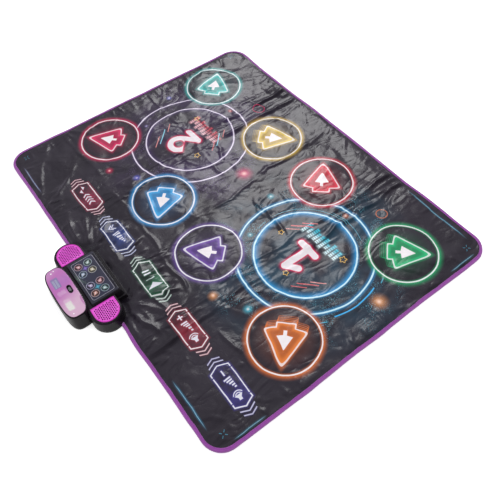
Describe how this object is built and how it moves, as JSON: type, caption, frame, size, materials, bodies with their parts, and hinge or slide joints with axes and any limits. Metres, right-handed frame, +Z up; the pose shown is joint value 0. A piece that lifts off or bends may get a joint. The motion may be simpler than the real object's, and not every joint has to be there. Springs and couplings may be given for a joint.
{
  "type": "dance mat controller",
  "caption": "Folding floor mat controller with round arrow pads, hexagonal keys, a bound edge and a battery console with lit display, speakers and a slide switch",
  "frame": {"origin": "on the floor under the middle of the whole object's bounding box, with the mat laid flat", "axes": "+X along the mat's long side, to the right of a player who faces the console; +Y toward the console; +Z up from the floor"},
  "size_m": [1.1, 0.949, 0.0465],
  "materials": {
    "printed_vinyl": "flexible printed vinyl, soft gloss with faint grain",
    "carbon_film": "thin polyester film with carbon contact print",
    "spacer_foam": "closed cell foam sheet",
    "track_film": "thin polyester film with printed tracks",
    "padding_foam": "soft foam sheet",
    "grip_fabric": "woven backing with rubber grip dots",
    "binding_tape": "woven tape folded over the edge and sewn down",
    "print_orange": "printed vinyl, orange figure on black",
    "print_purple": "printed vinyl, purple figure on black",
    "print_green": "printed vinyl, green figure on black",
    "print_red": "printed vinyl, red figure on black",
    "print_blue": "printed vinyl, blue figure on black",
    "print_crimson": "printed vinyl, crimson figure on black",
    "print_yellow": "printed vinyl, yellow figure on black",
    "print_teal": "printed vinyl, teal figure on black",
    "print_violet": "printed vinyl, violet figure on black",
    "ribbon_film": "flat film ribbon with printed tracks",
    "black_shell": "moulded plastic, fine matt texture",
    "smoked_panel": "smoked clear sheet, printed behind",
    "magenta_grille": "painted plastic, satin",
    "pink_gloss": "painted plastic, high gloss",
    "white_baffle": "moulded white plastic",
    "circuit_board": "laminate with solder mask",
    "speaker_steel": "plated steel",
    "cone_paper": "pressed black paper",
    "switch_steel": "plated steel",
    "knob_grey": "moulded plastic, ribbed",
    "cell_wrap": "printed foil wrap",
    "contact_steel": "nickel plated spring steel",
    "screw_steel": "zinc plated steel",
    "foot_rubber": "moulded rubber, matt"
  },
  "bodies": {
    "mat": {"base_shell": "black_shell", "battery_cell_front_left": "cell_wrap", "battery_cell_front_right": "cell_wrap", "battery_cell_rear_left": "cell_wrap", "battery_cell_rear_right": "cell_wrap", "battery_contact_left": "contact_steel", "battery_contact_right": "contact_steel", "board_screw_left": "screw_steel", "board_screw_right": "screw_steel", "bottom_sheet": "grip_fabric", "case_screw_front_left": "screw_steel", "case_screw_front_right": "screw_steel", "case_screw_lobe_left": "screw_steel", "case_screw_lobe_right": "screw_steel", "case_screw_rear_left": "screw_steel", "case_screw_rear_right": "screw_steel", "console_cap": "pink_gloss", "display_panel": "smoked_panel", "edge_binding": "binding_tape", "led_board": "circuit_board", "led_screw_front": "screw_steel", "led_screw_rear": "screw_steel", "light_baffle": "white_baffle", "lower_contact_film": "track_film", "main_board": "circuit_board", "padding_foam": "padding_foam", "ribbon_cable": "ribbon_film", "rubber_foot_front_left": "foot_rubber", "rubber_foot_front_right": "foot_rubber", "rubber_foot_rear_left": "foot_rubber", "rubber_foot_rear_right": "foot_rubber", "spacer_foam": "spacer_foam", "speaker_basket_left": "speaker_steel", "speaker_basket_right": "speaker_steel", "speaker_grille_left": "magenta_grille", "speaker_grille_right": "magenta_grille", "switch_body": "switch_steel", "top_sheet": "printed_vinyl", "top_shell": "black_shell", "upper_contact_film": "carbon_film"},
    "player_1_back_left_pad": {"player_1_back_left_pad": "print_green"},
    "player_1_back_right_pad": {"player_1_back_right_pad": "print_red"},
    "player_1_front_left_pad": {"player_1_front_left_pad": "print_orange"},
    "player_1_front_right_pad": {"player_1_front_right_pad": "print_purple"},
    "player_2_back_left_pad": {"player_2_back_left_pad": "print_yellow"},
    "player_2_back_right_pad": {"player_2_back_right_pad": "print_teal"},
    "player_2_front_left_pad": {"player_2_front_left_pad": "print_blue"},
    "player_2_front_right_pad": {"player_2_front_right_pad": "print_crimson"},
    "volume_down_key": {"volume_down_key": "print_violet"},
    "volume_up_key": {"volume_up_key": "print_red"},
    "play_key": {"play_key": "print_green"},
    "level_key": {"level_key": "print_blue"},
    "next_track_key": {"next_track_key": "print_crimson"},
    "speaker_cone_left": {"speaker_cone_left": "cone_paper"},
    "speaker_cone_right": {"speaker_cone_right": "cone_paper"},
    "switch_knob": {"switch_knob": "knob_grey"},
    "battery_door": {"battery_door": "black_shell"}
  },
  "joints": [
    {"name": "player_1_back_left_pad_press", "type": "slide", "parent": "mat", "child": "player_1_back_left_pad", "axis": [0, 0, -1], "range_m": [0, 0.0028], "stiffness_N_per_m": 4000, "springref_m": -0.001},
    {"name": "player_1_back_right_pad_press", "type": "slide", "parent": "mat", "child": "player_1_back_right_pad", "axis": [0, 0, -1], "range_m": [0, 0.0028], "stiffness_N_per_m": 4000, "springref_m": -0.001},
    {"name": "player_1_front_left_pad_press", "type": "slide", "parent": "mat", "child": "player_1_front_left_pad", "axis": [0, 0, -1], "range_m": [0, 0.0028], "stiffness_N_per_m": 4000, "springref_m": -0.001},
    {"name": "player_1_front_right_pad_press", "type": "slide", "parent": "mat", "child": "player_1_front_right_pad", "axis": [0, 0, -1], "range_m": [0, 0.0028], "stiffness_N_per_m": 4000, "springref_m": -0.001},
    {"name": "player_2_back_left_pad_press", "type": "slide", "parent": "mat", "child": "player_2_back_left_pad", "axis": [0, 0, -1], "range_m": [0, 0.0028], "stiffness_N_per_m": 4000, "springref_m": -0.001},
    {"name": "player_2_back_right_pad_press", "type": "slide", "parent": "mat", "child": "player_2_back_right_pad", "axis": [0, 0, -1], "range_m": [0, 0.0028], "stiffness_N_per_m": 4000, "springref_m": -0.001},
    {"name": "player_2_front_left_pad_press", "type": "slide", "parent": "mat", "child": "player_2_front_left_pad", "axis": [0, 0, -1], "range_m": [0, 0.0028], "stiffness_N_per_m": 4000, "springref_m": -0.001},
    {"name": "player_2_front_right_pad_press", "type": "slide", "parent": "mat", "child": "player_2_front_right_pad", "axis": [0, 0, -1], "range_m": [0, 0.0028], "stiffness_N_per_m": 4000, "springref_m": -0.001},
    {"name": "volume_down_key_press", "type": "slide", "parent": "mat", "child": "volume_down_key", "axis": [0, 0, -1], "range_m": [0, 0.0028], "stiffness_N_per_m": 2000, "springref_m": -0.001},
    {"name": "volume_up_key_press", "type": "slide", "parent": "mat", "child": "volume_up_key", "axis": [0, 0, -1], "range_m": [0, 0.0028], "stiffness_N_per_m": 2000, "springref_m": -0.001},
    {"name": "play_key_press", "type": "slide", "parent": "mat", "child": "play_key", "axis": [0, 0, -1], "range_m": [0, 0.0028], "stiffness_N_per_m": 2000, "springref_m": -0.001},
    {"name": "level_key_press", "type": "slide", "parent": "mat", "child": "level_key", "axis": [0, 0, -1], "range_m": [0, 0.0028], "stiffness_N_per_m": 2000, "springref_m": -0.001},
    {"name": "next_track_key_press", "type": "slide", "parent": "mat", "child": "next_track_key", "axis": [0, 0, -1], "range_m": [0, 0.0028], "stiffness_N_per_m": 2000, "springref_m": -0.001},
    {"name": "speaker_cone_left_stroke", "type": "slide", "parent": "mat", "child": "speaker_cone_left", "axis": [0, 0, 1], "range_m": [-0.001, 0.001], "stiffness_N_per_m": 1500},
    {"name": "speaker_cone_right_stroke", "type": "slide", "parent": "mat", "child": "speaker_cone_right", "axis": [0, 0, 1], "range_m": [-0.001, 0.001], "stiffness_N_per_m": 1500},
    {"name": "switch_slide", "type": "slide", "parent": "mat", "child": "switch_knob", "axis": [1, 0, 0], "range_m": [-0.004, 0.004]},
    {"name": "battery_door_slide", "type": "slide", "parent": "mat", "child": "battery_door", "axis": [0, 1, 0], "range_m": [0, 0.05]}
  ]
}
